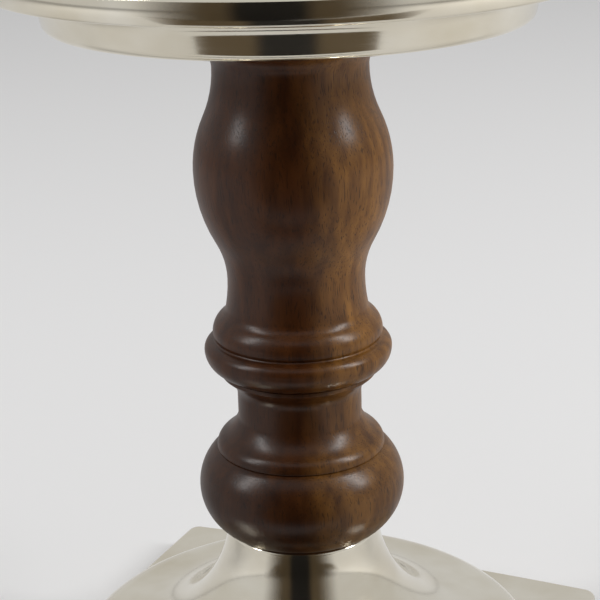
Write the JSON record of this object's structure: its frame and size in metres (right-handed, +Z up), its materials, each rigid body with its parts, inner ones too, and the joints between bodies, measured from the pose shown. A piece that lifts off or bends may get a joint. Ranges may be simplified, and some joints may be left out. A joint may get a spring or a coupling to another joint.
{
  "type": "pricket candle stand",
  "caption": "Table candle stand: spike and wide drip pan on a turned wooden stem, with a trumpet-shaped bell on a square foot, held together by a tie rod.",
  "frame": {"origin": "middle of the felt's underside, where the stand rests on the table", "axes": "+Z up along the stem; X and Y along the sides of the square foot"},
  "size_m": [0.1256, 0.1256, 0.1958],
  "materials": {
    "plated_metal": "silver-plated brass, polished, with fine spinning and polishing lines",
    "wood": "turned hardwood, stained dark brown and lacquered, open pores",
    "steel": "zinc-plated steel, plain",
    "cast_iron": "rough cast, unpainted",
    "leather": "cut leather washer",
    "fibreboard": "hard fibreboard, sawn edges",
    "felt": "dark green wool felt"
  },
  "bodies": {
    "root": {"base_felt": "felt", "base_board": "fibreboard", "foot_plate": "plated_metal", "foot_bell": "plated_metal", "ballast_ring": "cast_iron", "neck_washer": "steel", "spring_washer": "steel", "base_nut": "steel", "tie_rod": "steel", "lower_washer": "leather", "wood_stem": "wood", "upper_washer": "leather", "pan_seat": "steel", "drip_pan": "plated_metal", "rim_wire": "steel", "pricket_collar": "plated_metal", "pricket_spike": "plated_metal"}
  },
  "joints": []
}
